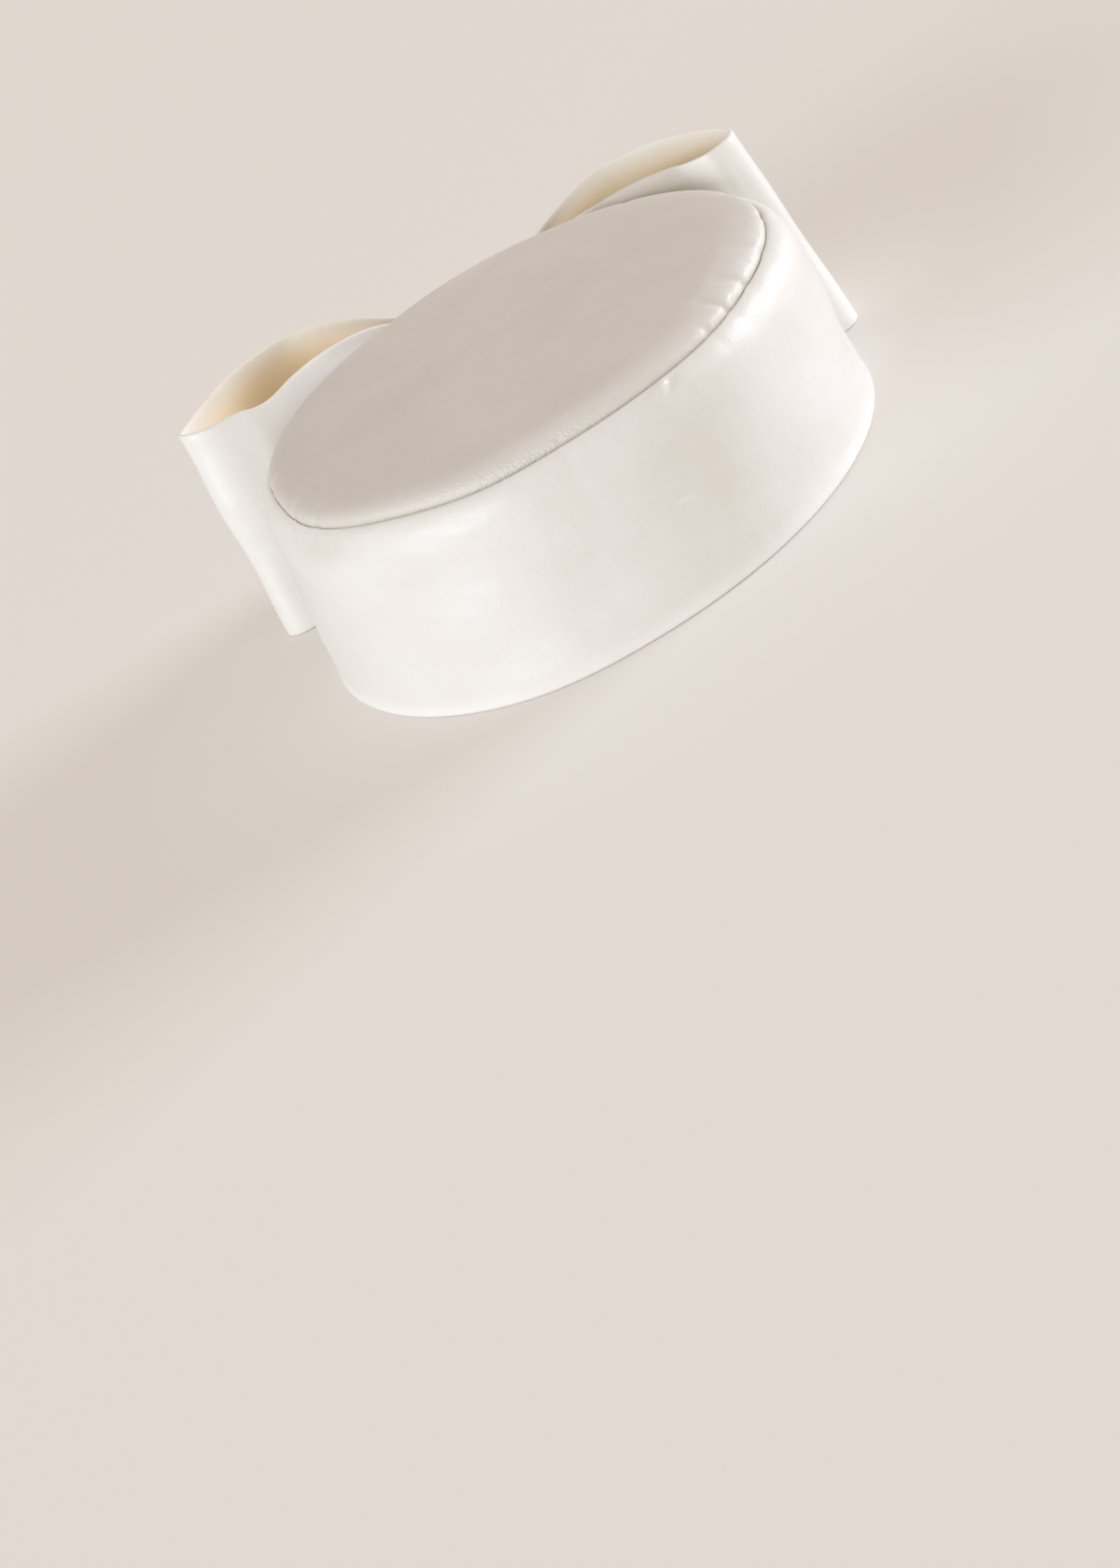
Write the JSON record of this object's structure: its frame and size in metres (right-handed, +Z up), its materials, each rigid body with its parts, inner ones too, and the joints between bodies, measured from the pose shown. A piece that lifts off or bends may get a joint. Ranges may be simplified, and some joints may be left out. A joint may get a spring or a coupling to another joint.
{
  "type": "pillbox hat",
  "caption": "Round satin pillbox hat with a padded tip, an upright side band and a flat ribbon bow at the back.",
  "frame": {"origin": "middle of the footprint of the whole hat and bow, on the surface that the rim rests on", "axes": "+Z up through the tip, -Y towards the front of the hat, +Y towards the bow, +X to the right of a viewer who faces the front"},
  "size_m": [0.194, 0.1878, 0.0665],
  "materials": {
    "tip_satin": "padded ivory satin with a soft sheen",
    "band_satin": "smooth ivory satin with a soft sheen",
    "ribbon_satin": "smooth ivory satin ribbon, slightly translucent"
  },
  "bodies": {
    "root": {"crown_tip": "tip_satin", "side_band": "band_satin", "bow_ribbon": "ribbon_satin", "bow_knot": "ribbon_satin"}
  },
  "joints": []
}
